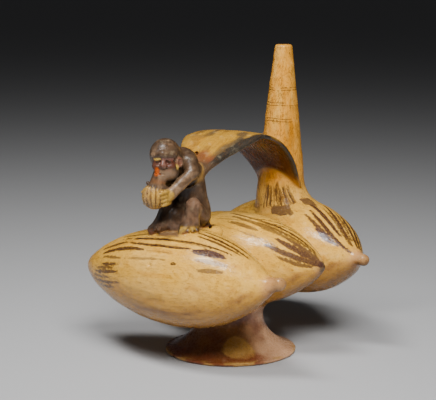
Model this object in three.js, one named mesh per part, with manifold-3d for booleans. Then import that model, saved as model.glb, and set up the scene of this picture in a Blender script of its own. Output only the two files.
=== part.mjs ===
// A fired clay bottle: three plump fruits, pointed at both ends, lying side by side on one flared foot,
// a tapering spout on the rear fruit, and a broad strap handle that runs from the spout
// to the back of a monkey, which sits on the front fruit and eats a small gourd.
// Millimetres, +Z up. The fruits lie along X with their nipples at +X; the row runs along Y,
// with the monkey at -Y and the spout at +Y. The whole bottle is one piece of clay.
import * as THREE from "three";
import { mergeVertices } from "three/addons/utils/BufferGeometryUtils.js";
import Module from "manifold-3d";

const wasm = await Module();
wasm.setup();

// Driving dimensions of the body
const overallHeight = 200;
const rowMiddle = 6.3;
const frontSpacing = 56;
const rearSpacing = 56.2;
const bodyWall = 4.5;
const passageRadius = 9;
const nippleLength = 15;
const nippleRootRadius = 7.2;
const nippleTipRadius = 3.9;
const nippleSink = 0.8;
const cutPast = 2;

// Each fruit: axis height, greatest radius, reach to its nipple end and to its plain end,
// turn in plan and rise of the nipple end in degrees, and how the nipple tilts and sits above the axis
const frontFruit = {
  x: 1.6,
  y: rowMiddle - frontSpacing,
  z: 58,
  radius: 31.5,
  reach: 69.5,
  back: 83.5,
  turn: 0,
  rise: 1.8,
  nippleTilt: 13,
  nippleLift: 1.9,
};
const middleFruit = {
  x: 0.4,
  y: rowMiddle,
  z: 61.5,
  radius: 30.5,
  reach: 67.2,
  back: 80.7,
  turn: 4.2,
  rise: 0.9,
};
const rearFruit = {
  x: 5.2,
  y: rowMiddle + rearSpacing,
  z: 62.6,
  radius: 32.6,
  reach: 71.9,
  back: 86.4,
  turn: -16.8,
  rise: 1,
  nippleTilt: -2,
  nippleLift: 0.4,
};

// Foot
const footRadius = 43.4;
const footRimHeight = 1.6;
const footFlareHeight = 24;
const neckRadius = 21.5;
const neckStraight = 6;
const footWall = 4.4;
const footRoofRound = 4;
const footRoofDrop = 1;

// Spout
const spoutX = -3.2;
const spoutSetback = -3;
const spoutLean = 0.85;
const rimRadius = 5.8;
const spoutShoulderRadius = 15.6;
const spoutShoulderHeight = 110;
const spoutSkirtRadius = 24.5;
const spoutSkirtDepth = 14;
const spoutWall = 2.3;

// Strap handle
const strapCrestHeight = 143.5;
const strapCrestWidth = 43;
const strapRootWidth = 21;
const strapSpoutWidth = 35;
const strapThickness = 4.4;
const strapTwist = 7;
const strapSpoutJointHeight = 104;

// Monkey, in hundredths of its height above the fruit that it sits on
const figureHeight = 57.8;
const hundredth = figureHeight / 100;

// Turned outlines use this many sides
const fruitSides = 24;
const fruitSteps = 8;
const cavitySides = 12;
const cavitySteps = 4;
const footSides = 28;
const footHollowSides = 16;
const spoutSides = 18;
const boreSides = 10;
const passageSides = 8;
const nippleSides = 9;

// A closed three.js geometry as a solid for joining and cutting
function solidOf(geometry) {
  const bare = geometry.index ? geometry.toNonIndexed() : geometry.clone();
  bare.deleteAttribute("normal");
  bare.deleteAttribute("uv");
  const merged = mergeVertices(bare, 1e-4);
  const corners = [];
  for (let first = 0; first < merged.index.count; first += 3) {
    const [a, b, c] = [0, 1, 2].map((step) => merged.index.getX(first + step));
    if (a !== b && b !== c && c !== a) corners.push(a, b, c);
  }
  const mesh = new wasm.Mesh({
    numProp: 3,
    vertProperties: new Float32Array(merged.attributes.position.array),
    triVerts: new Uint32Array(corners),
  });
  mesh.merge();
  return new wasm.Manifold(mesh);
}

function geometryOf(solid) {
  const mesh = solid.getMesh();
  const geometry = new THREE.BufferGeometry();
  geometry.setAttribute("position", new THREE.BufferAttribute(new Float32Array(mesh.vertProperties), 3));
  geometry.setIndex(new THREE.BufferAttribute(new Uint32Array(mesh.triVerts), 1));
  geometry.computeVertexNormals();
  return geometry;
}

function joined(solids) {
  return solids.reduce((whole, next) => whole.add(next));
}

// A turned form about +Y through points [radius, height], from the lowest to the highest
function turned(outline, sides) {
  return new THREE.LatheGeometry(outline.map(([r, h]) => new THREE.Vector2(Math.max(r, 0), h)), sides);
}

// Stands a form turned about +Y upright on +Z
function upright(geometry) {
  return geometry.rotateX(Math.PI / 2);
}

// A ball stretched to three half-sizes, turned about Z by yaw degrees
function ellipsoid([x, y, z], [rx, ry, rz], sides = 12, yaw = 0) {
  const ball = new THREE.SphereGeometry(1, sides, Math.round(sides * 0.7));
  return ball.scale(rx, ry, rz).rotateZ(THREE.MathUtils.degToRad(yaw)).translate(x, y, z);
}

// A rounded limb that tapers from one point to another
function limb(from, to, fromRadius, toRadius, sides) {
  const start = new THREE.Vector3(...from);
  const along = new THREE.Vector3(...to).sub(start);
  const length = along.length();
  const capSteps = 2;
  const outline = [];
  for (let step = 0; step <= capSteps; step++) {
    const angle = (step / capSteps - 1) * Math.PI / 2;
    outline.push([fromRadius * Math.cos(angle), fromRadius * Math.sin(angle)]);
  }
  for (let step = 0; step <= capSteps; step++) {
    const angle = step / capSteps * Math.PI / 2;
    outline.push([toRadius * Math.cos(angle), length + toRadius * Math.sin(angle)]);
  }
  outline[0][0] = 0;
  outline[outline.length - 1][0] = 0;
  const turn = new THREE.Quaternion().setFromUnitVectors(new THREE.Vector3(0, 1, 0), along.normalize());
  return turned(outline, sides).applyQuaternion(turn).translate(...from);
}

// Fruit outline: full in the middle, drawn out to a blunt point at both ends
const plainEnd = { fullness: 1.88, point: 0.75 };
const nippleEnd = { fullness: 2.13, point: 0.8 };

function fruitRadiusAt(share, end) {
  return (1 - Math.abs(share) ** end.fullness) ** end.point;
}

function fruitOutline(fruit, inset, steps) {
  const outline = [];
  for (let step = -steps; step <= steps; step++) {
    const share = Math.sin(step / steps * Math.PI / 2);
    const end = share < 0 ? plainEnd : nippleEnd;
    const length = (share < 0 ? fruit.back : fruit.reach) - inset * 1.4;
    outline.push([(fruit.radius - inset) * fruitRadiusAt(share, end), share * length]);
  }
  return outline;
}

// Puts a form made along +Y, with its middle at the origin, where the fruit lies
function laidAsFruit(geometry, fruit) {
  return geometry
    .rotateZ(-Math.PI / 2)
    .rotateY(THREE.MathUtils.degToRad(-fruit.rise))
    .rotateZ(THREE.MathUtils.degToRad(fruit.turn))
    .translate(fruit.x, fruit.y, fruit.z);
}

function fruitBody(fruit) {
  return solidOf(laidAsFruit(turned(fruitOutline(fruit, 0, fruitSteps), fruitSides), fruit));
}

function fruitCavity(fruit) {
  return solidOf(laidAsFruit(turned(fruitOutline(fruit, bodyWall, cavitySteps), cavitySides), fruit));
}

// The nipple swells out of the fruit's end and ends in a small rounded knob
function nipple(fruit) {
  const root = -nippleLength * 0.62;
  const outline = [
    [0, root],
    [nippleRootRadius * 1.1, root],
    [nippleRootRadius * 0.96, root + nippleLength * 0.35],
    [nippleTipRadius * 1.25, root + nippleLength * 0.66],
    [nippleTipRadius * 1.05, root + nippleLength * 0.94],
    [nippleTipRadius, root + nippleLength * 1.14],
    [nippleTipRadius * 0.62, root + nippleLength * 1.27],
    [0, root + nippleLength * 1.33],
  ];
  const knob = turned(outline, nippleSides)
    .rotateX(THREE.MathUtils.degToRad(fruit.nippleTilt))
    .translate(0, fruit.reach - nippleSink, fruit.nippleLift);
  return solidOf(laidAsFruit(knob, fruit));
}

function passage(fromFruit, toFruit) {
  const from = [fromFruit.x, fromFruit.y, fromFruit.z];
  const to = [toFruit.x, toFruit.y, toFruit.z];
  return solidOf(limb(from, to, passageRadius, passageRadius, passageSides));
}

// Foot: a trumpet whose neck grows up into the three fruits, hollow below
function footCurve(radius, height, steps) {
  const curve = [];
  for (let step = 1; step <= steps; step++) {
    const share = step / steps;
    curve.push([neckRadius + (radius - neckRadius) * (1 - share) ** 2.1, footRimHeight + height * share ** 1.15]);
  }
  return curve;
}

function foot() {
  const neckTop = middleFruit.z - middleFruit.radius * 0.5;
  const outline = [
    [0, 0],
    [footRadius, 0],
    [footRadius, footRimHeight],
    ...footCurve(footRadius, footFlareHeight, 7),
    [neckRadius * 1.04, footRimHeight + footFlareHeight + neckStraight],
    [neckRadius * 1.2, neckTop],
    [0, neckTop],
  ];
  return solidOf(upright(turned(outline, footSides)));
}

function footHollow() {
  const roof = middleFruit.z - middleFruit.radius - footRoofDrop;
  const inner = footCurve(footRadius, footFlareHeight, 5)
    .map(([r, h]) => [r - footWall, h - footWall * 0.5])
    .filter(([, h]) => h < roof - footRoofRound);
  const outline = [
    [0, -cutPast],
    [footRadius - footWall, -cutPast],
    [footRadius - footWall, 0],
    ...inner,
    [neckRadius - footWall, roof - footRoofRound],
    [(neckRadius - footWall) * 0.6, roof - footRoofRound * 0.2],
    [0, roof],
  ];
  return solidOf(upright(turned(outline, footHollowSides)));
}

// Spout
const spoutY = rearFruit.y + spoutSetback;
const rearTop = rearFruit.z + rearFruit.radius;

function leaned(geometry) {
  return geometry.rotateY(THREE.MathUtils.degToRad(spoutLean)).translate(spoutX, spoutY, rearFruit.z);
}

function spout() {
  const shoulder = spoutShoulderHeight - rearFruit.z;
  const rim = overallHeight - rearFruit.z;
  const skirt = rearTop - rearFruit.z;
  const taper = spoutShoulderRadius - rimRadius;
  const outline = [
    [0, 0],
    [spoutSkirtRadius, skirt - spoutSkirtDepth],
    [spoutSkirtRadius * 0.88, skirt - spoutSkirtDepth * 0.57],
    [spoutSkirtRadius * 0.74, skirt - spoutSkirtDepth * 0.07],
    [spoutShoulderRadius * 1.1, skirt + spoutSkirtDepth * 0.43],
    [spoutShoulderRadius, shoulder],
  ];
  const steps = 4;
  for (let step = 1; step <= steps; step++) {
    const share = step / steps;
    outline.push([spoutShoulderRadius - taper * share ** 1.12, shoulder + (rim - shoulder) * share]);
  }
  outline.push([0, rim]);
  return solidOf(leaned(upright(turned(outline, spoutSides))));
}

function spoutBore() {
  const shoulder = spoutShoulderHeight - rearFruit.z;
  const rim = overallHeight - rearFruit.z;
  const outline = [
    [0, 0],
    [spoutShoulderRadius - bodyWall, 0],
    [spoutShoulderRadius - bodyWall, shoulder],
    [rimRadius - spoutWall, rim + cutPast],
    [0, rim + cutPast],
  ];
  return solidOf(leaned(upright(turned(outline, boreSides))));
}

// Strap handle: stations from the monkey's back to the spout, each a place along Y, a height,
// a shift along X and a width
const seat = [0, frontFruit.y, frontFruit.z + frontFruit.radius];
const strapStart = seat[1] + 15 * hundredth;
const strapEnd = spoutY - spoutShoulderRadius * 0.2;
const strapRise = strapCrestHeight - (seat[2] + 58 * hundredth);
const strapDrop = strapCrestHeight - strapSpoutJointHeight;

function strapStation(along, drop, shift, width, twist = 0) {
  return { y: strapStart + (strapEnd - strapStart) * along, z: strapCrestHeight - drop, shift, width, twist };
}

const strapShoulderWidth = (strapRootWidth + strapCrestWidth) / 2;
const strapStations = [
  strapStation(-0.03, strapRise * 1.15, 0, strapRootWidth * 0.8, 0),
  strapStation(0.05, strapRise * 0.85, 0, strapRootWidth, strapTwist * 0.3),
  strapStation(0.15, strapRise * 0.52, -strapCrestWidth * 0.07, strapShoulderWidth, strapTwist * 0.8),
  strapStation(0.25, strapRise * 0.26, -strapCrestWidth * 0.08, strapCrestWidth * 0.93, strapTwist),
  strapStation(0.36, strapRise * 0.08, -strapCrestWidth * 0.04, strapCrestWidth, strapTwist * 0.6),
  strapStation(0.47, 0, 0, strapCrestWidth, strapTwist * 0.1),
  strapStation(0.58, strapDrop * 0.05, 0, strapCrestWidth, 0),
  strapStation(0.69, strapDrop * 0.19, 0, strapCrestWidth * 0.97, -strapTwist * 0.3),
  strapStation(0.8, strapDrop * 0.4, 0, strapCrestWidth * 0.93, -strapTwist * 0.4),
  strapStation(0.9, strapDrop * 0.67, 0, strapSpoutWidth * 1.06, -strapTwist * 0.3),
  strapStation(1, strapDrop, 0, strapSpoutWidth * 0.94, 0),
];

// A flat block bent along the stations, thinner towards its two long edges
function strap() {
  const path = new THREE.CatmullRomCurve3(strapStations.map(({ y, z }) => new THREE.Vector3(0, y, z)));
  const sizes = new THREE.CatmullRomCurve3(
    strapStations.map(({ shift, width, twist }) => new THREE.Vector3(shift, width, twist)),
  );
  const band = new THREE.BoxGeometry(1, 1, 1, 4, 18, 1);
  const corners = band.attributes.position;
  for (let index = 0; index < corners.count; index++) {
    const along = corners.getY(index) + 0.5;
    const across = corners.getX(index);
    const middle = path.getPoint(along);
    const direction = path.getTangent(along);
    const size = sizes.getPoint(along);
    const thinning = 1 - 0.35 * (2 * across) ** 4;
    const lift = corners.getZ(index) * strapThickness * thinning;
    corners.setXYZ(
      index,
      size.x + across * size.y,
      middle.y - direction.z * lift,
      middle.z + direction.y * lift - across * size.z,
    );
  }
  return solidOf(band);
}

// Monkey: every place and radius below is in hundredths of the figure's height,
// x to its left hand, y backwards and z up, from the seat on top of the front fruit
function place([x, y, z]) {
  return [seat[0] + x * hundredth, seat[1] + y * hundredth, seat[2] + z * hundredth];
}

function lump(centre, radii, sides, yaw) {
  return solidOf(ellipsoid(place(centre), radii.map((radius) => radius * hundredth), sides, yaw));
}

function bone(from, to, fromRadius, toRadius, sides) {
  return solidOf(limb(place(from), place(to), fromRadius * hundredth, toRadius * hundredth, sides));
}

function torso() {
  return [
    lump([0, 20, 12], [20, 17, 22], 12),
    lump([-1, 2, 15], [16, 17, 22], 8),
    bone([0, 19, 18], [0, 13, 56], 17.5, 16, 12),
    lump([0, 0, 71], [20, 16, 17], 12),
    bone([0, -2, 72], [0, -16, 78], 13, 12, 10),
  ];
}

function head() {
  return [
    lump([0, -26.5, 82.5], [16.5, 17, 17.3], 13),
    lump([3, -35, 64], [13, 13, 12], 10, 12),
    lump([2.5, -46, 65], [7, 4, 5], 7, 12),
    bone([-8, -40, 82.5], [10, -40, 83], 4, 4, 6),
    bone([2, -42, 80], [2.5, -46, 73], 2.4, 3.4, 6),
    lump([17, -24, 74], [3.5, 5.5, 8.5], 8, -20),
    lump([-17, -26, 74], [3.5, 5.5, 8.5], 8, 20),
  ];
}

function arm(side) {
  return [
    bone([side * 14.5, -4, 73], [side * 21.5, -8.5, 62.5], 9.5, 7.2, 7),
    bone([side * 21.5, -8.5, 62.5], [side * 14, -34, 42.5], 7.2, 5.7, 7),
    bone([side * 14, -34, 42.5], [side * 11, -43, 38.5], 5.7, 6.2, 7),
  ];
}

// Four fingers laid round the gourd
function fingers(side) {
  return [0, 1, 2, 3].map((finger) => {
    const height = 45 - finger * 4.6;
    return bone([side * 12, -42, height], [side * 7, -53.5, height - 1.5], 2.5, 2.2, 6);
  });
}

function leg({ hip, knee, ankle, toes }) {
  return [
    bone(hip, knee, 10, 8.2, 7),
    bone(knee, ankle, 8, 8.6, 7),
    bone(ankle, toes, 8, 6.4, 7),
  ];
}

function gourd() {
  return [
    lump([0, -44, 39.5], [13.6, 13.6, 13.2], 14),
    bone([0, -44, 44], [1.5, -46, 62], 9, 5.5, 7),
  ];
}

function monkey() {
  const nearLeg = leg({
    hip: [14, 17, 11],
    knee: [16.5, -0.5, 26.5],
    ankle: [15.5, -6, 4],
    toes: [14, -18, -1.5],
  });
  const farLeg = leg({
    hip: [-14, 14, 11],
    knee: [-18, -8, 25],
    ankle: [-18, -15, 2],
    toes: [-19, -27, -5],
  });
  return joined([
    ...torso(),
    ...head(),
    ...arm(1),
    ...arm(-1),
    ...fingers(1),
    ...fingers(-1),
    ...nearLeg,
    ...farLeg,
    ...gourd(),
  ]);
}

function bottle() {
  const outside = joined([
    fruitBody(frontFruit),
    fruitBody(middleFruit),
    fruitBody(rearFruit),
    nipple(frontFruit),
    nipple(rearFruit),
    foot(),
    spout(),
    strap(),
    monkey(),
  ]);
  const hollows = joined([
    fruitCavity(frontFruit),
    fruitCavity(middleFruit),
    fruitCavity(rearFruit),
    passage(frontFruit, middleFruit),
    passage(middleFruit, rearFruit),
    spoutBore(),
    footHollow(),
  ]);
  return outside.subtract(hollows);
}

const clay = new THREE.MeshStandardMaterial({ name: "painted_clay", color: 0xc49a5a, roughness: 0.38, metalness: 0 });
const vessel = new THREE.Mesh(geometryOf(bottle()), clay);
vessel.name = "vessel";
vessel.geometry.computeBoundingBox();
const middle = vessel.geometry.boundingBox.getCenter(new THREE.Vector3());
vessel.geometry.translate(-middle.x, -middle.y, 0);

const group = new THREE.Group();
group.add(vessel);
export default group;
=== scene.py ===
"""Looks of a fired clay bottle: three painted fruits on one foot, a spout, a strap handle and a monkey.

The clay is modelled as one field of signed distances: forms are blended together as wet clay is,
hollows are cut out, and the surface where the field is nought becomes one closed mesh.
Sizes are in millimetres about the middle of the foot, until the mesh is moved to the part's frame.
"""
import math

import bmesh
import bpy
import numpy as np
from mathutils import Matrix, Vector


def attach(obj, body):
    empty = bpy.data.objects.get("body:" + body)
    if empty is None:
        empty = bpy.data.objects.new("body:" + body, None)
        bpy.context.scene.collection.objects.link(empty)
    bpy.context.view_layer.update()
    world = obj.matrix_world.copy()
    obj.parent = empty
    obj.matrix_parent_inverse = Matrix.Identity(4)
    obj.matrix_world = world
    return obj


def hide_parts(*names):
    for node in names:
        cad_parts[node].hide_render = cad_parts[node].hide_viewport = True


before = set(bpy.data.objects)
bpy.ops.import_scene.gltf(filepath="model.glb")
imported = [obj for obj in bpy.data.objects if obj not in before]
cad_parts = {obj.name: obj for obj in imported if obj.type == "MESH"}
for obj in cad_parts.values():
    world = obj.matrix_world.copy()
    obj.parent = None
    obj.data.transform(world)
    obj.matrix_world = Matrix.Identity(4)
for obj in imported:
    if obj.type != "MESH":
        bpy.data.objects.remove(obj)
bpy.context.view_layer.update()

MM = 0.001
FOOT_AXIS = np.array([-0.792, -8.23, 0.0])

# Body
OVERALL_HEIGHT = 200.0
ROW_MIDDLE = 6.3
FRONT_SPACING = 56.0
REAR_SPACING = 56.2
BODY_WALL = 4.5
PASSAGE_RADIUS = 9.0
NIPPLE_LENGTH = 15.0
NIPPLE_ROOT_RADIUS = 7.2
NIPPLE_SINK = 0.8
FOOT_RADIUS = 43.4
FOOT_RIM = 1.6
FOOT_FLARE = 24.0
FOOT_WALL = 4.4
NECK_RADIUS = 21.5
PLAIN_END = (1.88, 0.75)
NIPPLE_END = (2.13, 0.8)

# Spout and strap handle
SPOUT_X = -3.2
SPOUT_SETBACK = -3.0
SPOUT_LEAN = 0.85
RIM_RADIUS = 5.8
SHOULDER_RADIUS = 15.6
SHOULDER_HEIGHT = 110.0
SKIRT_RADIUS = 24.5
SPOUT_WALL = 2.3
STRAP_CREST = 143.5
STRAP_WIDTH = 43.0
STRAP_ROOT_WIDTH = 21.0
STRAP_SPOUT_WIDTH = 35.0
STRAP_THICKNESS = 4.4
STRAP_TWIST = 7.0
STRAP_JOINT_HEIGHT = 106.0

# The monkey's own unit is a hundredth of its height above its seat
FIGURE_HEIGHT = 57.8
HUNDREDTH = FIGURE_HEIGHT / 100

# Grid: how far apart its lines stand, and how far the forms' distances are worked out
COARSE = 1.3
FINE = 0.55
BLOCK = 4
REACH = 8.0
FAR = 50.0
MOST_TRIANGLES = 192000
INSIDE_TRIANGLES = 12000

# Low and high end of the grid along each axis, and of its fine stretch round the monkey
GRID = ((-86, 90, -16.5, 17.5), (-86, 102, -84, -30), (-3, 203, 85, 149))

# Depth and width in mm and seed of the hand-made surface's gentle bumps
UNEVENNESS = ((0.22, 11, 5), (0.1, 4, 6))


class Fruit:
    """A fruit's place, its axis and its own directions: along towards the nipple, across and up"""

    def __init__(self, x, y, z, radius, reach, back, turn, rise, nipple_tilt=0.0, nipple_lift=0.0,
                 nipple_sunk=0.0):
        self.middle = np.array([x, y, z])
        self.radius = radius
        self.reach = reach
        self.back = back
        self.nipple_tilt = math.radians(nipple_tilt)
        self.nipple_lift = nipple_lift
        self.nipple_sunk = nipple_sunk
        turn, rise = math.radians(turn), math.radians(rise)
        along = np.array([math.cos(rise) * math.cos(turn), math.cos(rise) * math.sin(turn), math.sin(rise)])
        across = np.array([-math.sin(turn), math.cos(turn), 0.0])
        self.axes = np.column_stack([along, across, np.cross(along, across)])

    def local(self, points):
        return (points - self.middle) @ self.axes

    def place(self, point):
        return self.middle + self.axes @ np.array(point, float)


FRONT = Fruit(1.6, ROW_MIDDLE - FRONT_SPACING, 58.0, radius=31.5, reach=69.5, back=83.5, turn=0.0,
              rise=1.8, nipple_tilt=13.0, nipple_lift=1.9, nipple_sunk=1.0)
MIDDLE = Fruit(0.4, ROW_MIDDLE, 61.5, radius=30.5, reach=67.2, back=80.7, turn=4.2, rise=0.9)
REAR = Fruit(5.2, ROW_MIDDLE + REAR_SPACING, 62.6, radius=32.6, reach=71.9, back=86.4, turn=-16.8,
             rise=1.0, nipple_tilt=-2.0, nipple_lift=0.4, nipple_sunk=2.6)
FRUITS = (FRONT, MIDDLE, REAR)
SEAT = FRONT.middle + np.array([-FRONT.middle[0], 0.0, FRONT.radius])
SPOUT_Y = REAR.middle[1] + SPOUT_SETBACK


# Signed distances of plain forms
def length_of(vectors):
    return np.sqrt((vectors ** 2).sum(axis=1))


def bone_distance(points, start, end, start_radius, end_radius):
    start = np.asarray(start, float)
    axis = np.asarray(end, float) - start
    share = np.clip((points - start) @ axis / (axis @ axis), 0, 1)
    away = points - start - share[:, None] * axis
    return length_of(away) - (start_radius + (end_radius - start_radius) * share)


def ball_distance(points, centre, radii, turn):
    local = (points - np.asarray(centre, float)) @ turn
    scaled = local / np.asarray(radii, float)
    share = length_of(scaled)
    return share * (share - 1) / np.maximum(length_of(scaled / radii), 1e-9)


def smooth_join(first, second, blend):
    if blend <= 0:
        return np.minimum(first, second)
    share = np.clip(0.5 + 0.5 * (second - first) / blend, 0, 1)
    return second * (1 - share) + first * share - blend * share * (1 - share)


def looked_up(table, row, column):
    """The table's value at places between its rows and columns"""
    rows, columns = table.shape
    row = np.clip(row, 0, rows - 1.001)
    column = np.clip(column, 0, columns - 1.001)
    i, j = row.astype(int), column.astype(int)
    u, v = row - i, column - j
    low = table[i, j] * (1 - u) + table[i + 1, j] * u
    high = table[i, j + 1] * (1 - u) + table[i + 1, j + 1] * u
    return low * (1 - v) + high * v


class Profile:
    """Signed distance to a turned outline of (radius, height) points, kept on a fine grid"""

    pitch = 0.5

    def __init__(self, outline):
        outline = np.array(outline, float)
        self.low = outline[:, 1].min() - REACH
        radii = np.arange(0, outline[:, 0].max() + REACH, self.pitch)
        heights = np.arange(self.low, outline[:, 1].max() + REACH, self.pitch)
        r, h = np.meshgrid(radii, heights, indexing="ij")
        nearest = np.full(r.shape, np.inf)
        inside = np.zeros(r.shape, bool)
        for (r0, h0), (r1, h1) in zip(outline[:-1], outline[1:]):
            dr, dh = r1 - r0, h1 - h0
            share = np.clip(((r - r0) * dr + (h - h0) * dh) / max(dr * dr + dh * dh, 1e-12), 0, 1)
            nearest = np.minimum(nearest, (r - r0 - share * dr) ** 2 + (h - h0 - share * dh) ** 2)
            if h0 != h1:
                crosses = (h >= min(h0, h1)) & (h < max(h0, h1))
                inside ^= crosses & (r < r0 + (h - h0) / dh * dr)
        self.table = np.sqrt(nearest) * np.where(inside, -1, 1)
        self.extent = outline[:, 0].max(), outline[:, 1].min(), outline[:, 1].max()

    def distance(self, radius, height):
        return looked_up(self.table, radius / self.pitch, (height - self.low) / self.pitch)


class Form:
    """One lump of clay, or one hollow cut from it, with the box around it and how softly it blends"""

    def __init__(self, distance, low, high, blend=0.0, cut=False):
        self.distance = distance
        self.low = np.asarray(low, float)
        self.high = np.asarray(high, float)
        self.blend = blend
        self.cut = cut


def field(points, forms):
    value = np.full(len(points), FAR)
    for form in forms:
        pad = REACH + form.blend
        near = np.flatnonzero(((points > form.low - pad) & (points < form.high + pad)).all(axis=1))
        if not len(near):
            continue
        here = form.distance(points[near])
        if form.cut:
            value[near] = -smooth_join(-value[near], here, form.blend)
        else:
            value[near] = smooth_join(value[near], here, form.blend)
    return value


def turned_form(profile, origin, axes, blend=0.0, cut=False):
    """A profile turned about the first of the axes, with its heights measured from the origin"""
    origin = np.asarray(origin, float)
    radius, low, high = profile.extent
    ends = np.array([origin + axes[:, 0] * low, origin + axes[:, 0] * high])
    spread = radius * np.sqrt(np.maximum(1 - axes[:, 0] ** 2, 0))

    def distance(points):
        local = (points - origin) @ axes
        return profile.distance(np.hypot(local[:, 1], local[:, 2]), local[:, 0])

    return Form(distance, ends.min(axis=0) - spread, ends.max(axis=0) + spread, blend, cut)


def bone(start, end, start_radius, end_radius, blend=0.0, cut=False):
    start, end = np.asarray(start, float), np.asarray(end, float)
    widest = max(start_radius, end_radius)
    low, high = np.minimum(start, end) - widest, np.maximum(start, end) + widest

    def distance(points):
        return bone_distance(points, start, end, start_radius, end_radius)

    return Form(distance, low, high, blend, cut)


def ball(centre, radii, blend=0.0, cut=False, yaw=0.0, pitch=0.0, roll=0.0):
    """A stretched ball, rolled about Y, pitched about X and then turned about Z, in degrees"""
    turn = Matrix.Rotation(math.radians(yaw), 3, "Z") @ Matrix.Rotation(math.radians(pitch), 3, "X")
    turn = np.array(turn @ Matrix.Rotation(math.radians(roll), 3, "Y"))
    centre = np.asarray(centre, float)
    spread = np.sqrt(((turn * np.asarray(radii, float)) ** 2).sum(axis=1))

    def distance(points):
        return ball_distance(points, centre, radii, turn)

    return Form(distance, centre - spread, centre + spread, blend, cut)


# The three fruits
def fruit_radius_at(share, end):
    fullness, point = end
    return (1 - np.abs(share) ** fullness) ** point


def fruit_profile(fruit, inset):
    outline = []
    for angle in np.linspace(-math.pi / 2, math.pi / 2, 90):
        share = math.sin(angle)
        length = (fruit.back if share < 0 else fruit.reach) - inset * 1.4
        end = PLAIN_END if share < 0 else NIPPLE_END
        outline.append([(fruit.radius - inset) * fruit_radius_at(share, end), share * length])
    return Profile(outline)


def fruit_form(fruit, blend):
    return turned_form(fruit_profile(fruit, 0), fruit.middle, fruit.axes, blend)


def fruit_hollow(fruit):
    return turned_form(fruit_profile(fruit, BODY_WALL), fruit.middle, fruit.axes, 2.0, cut=True)


def nipple_form(fruit):
    root = -NIPPLE_LENGTH * 0.62
    shares = [
        (0.0, 0.0),
        (1.1, 0.0),
        (0.96, 0.35),
        (0.677, 0.66),
        (0.569, 0.94),
        (0.542, 1.14),
        (0.47, 1.235),
        (0.336, 1.3),
        (0.0, 1.33),
    ]
    outline = [[NIPPLE_ROOT_RADIUS * wide, root + NIPPLE_LENGTH * high] for wide, high in shares]
    tilt = np.array(Matrix.Rotation(-fruit.nipple_tilt, 3, "Y"))
    origin = fruit.place((fruit.reach - NIPPLE_SINK - fruit.nipple_sunk, 0, fruit.nipple_lift))
    return turned_form(Profile(outline), origin, fruit.axes @ tilt, 2.2)


def passage(start, end):
    return bone(start.middle, end.middle, PASSAGE_RADIUS, PASSAGE_RADIUS, 2.0, cut=True)


# The foot
UPRIGHT = np.array([[0.0, 1.0, 0.0], [0.0, 0.0, 1.0], [1.0, 0.0, 0.0]])


def foot_curve(steps):
    shares = np.arange(1, steps + 1) / steps
    radii = NECK_RADIUS + (FOOT_RADIUS - NECK_RADIUS) * (1 - shares) ** 2.1
    return [[r, FOOT_RIM + FOOT_FLARE * share ** 1.15] for r, share in zip(radii, shares)]


def foot_form():
    rounding = 0.8
    outline = [
        [0, 0],
        [FOOT_RADIUS - rounding, 0],
        [FOOT_RADIUS, rounding],
        [FOOT_RADIUS - rounding * 0.3, FOOT_RIM + rounding],
        *foot_curve(24),
        [NECK_RADIUS * 1.04, FOOT_RIM + FOOT_FLARE + 6],
        [NECK_RADIUS * 1.2, MIDDLE.middle[2] - MIDDLE.radius * 0.5],
        [0, MIDDLE.middle[2] - MIDDLE.radius * 0.5],
    ]
    return turned_form(Profile(outline), (0, 0, 0), UPRIGHT, 7.0)


def foot_hollow():
    roof = MIDDLE.middle[2] - MIDDLE.radius - 1
    inner = [[r - FOOT_WALL, h - FOOT_WALL * 0.5] for r, h in foot_curve(16)]
    inner = [point for point in inner if point[1] < roof - 4]
    outline = [
        [0, -4],
        [FOOT_RADIUS - FOOT_WALL, -4],
        [FOOT_RADIUS - FOOT_WALL, 0],
        *inner,
        [NECK_RADIUS - FOOT_WALL, roof - 4],
        [(NECK_RADIUS - FOOT_WALL) * 0.6, roof - 0.8],
        [0, roof],
    ]
    return turned_form(Profile(outline), (0, 0, 0), UPRIGHT, 1.0, cut=True)


# The spout, with faint rings left by the potter's fingers
def spout_axes():
    lean = math.radians(SPOUT_LEAN)
    up = np.array([math.sin(lean), 0.0, math.cos(lean)])
    side = np.array([0.0, 1.0, 0.0])
    return np.column_stack([up, side, np.cross(up, side)])


def spout_radius_at(share):
    return SHOULDER_RADIUS - (SHOULDER_RADIUS - RIM_RADIUS) * share ** 1.12


def spout_form():
    base = REAR.middle[2]
    skirt = REAR.radius
    shoulder = SHOULDER_HEIGHT - base
    rim = OVERALL_HEIGHT - base
    outline = [
        [0, 0],
        [SKIRT_RADIUS * 0.7, skirt - 14],
        [SKIRT_RADIUS * 0.7, skirt - 1],
        [SHOULDER_RADIUS * 1.07, skirt + 6],
        [SHOULDER_RADIUS, shoulder],
    ]
    for share in np.linspace(0.03, 0.985, 60):
        ring = 0.05 * math.sin(share * 46) + 0.05 * math.sin(share * 83)
        outline.append([spout_radius_at(share) + ring, shoulder + (rim - shoulder) * share])
    outline += [[RIM_RADIUS - 0.1, rim - 0.6], [RIM_RADIUS - 0.7, rim], [0, rim]]
    return turned_form(Profile(outline), (SPOUT_X, SPOUT_Y, base), spout_axes(), 3.5)


def spout_skirt():
    """The clay that was drawn down over the rear fruit, mostly to the right of the spout"""
    return ball((SPOUT_X + 6.5, SPOUT_Y - 1.0, REAR.middle[2] + REAR.radius - 7), (18.5, 17.5, 15.5), 6.0)


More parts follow.
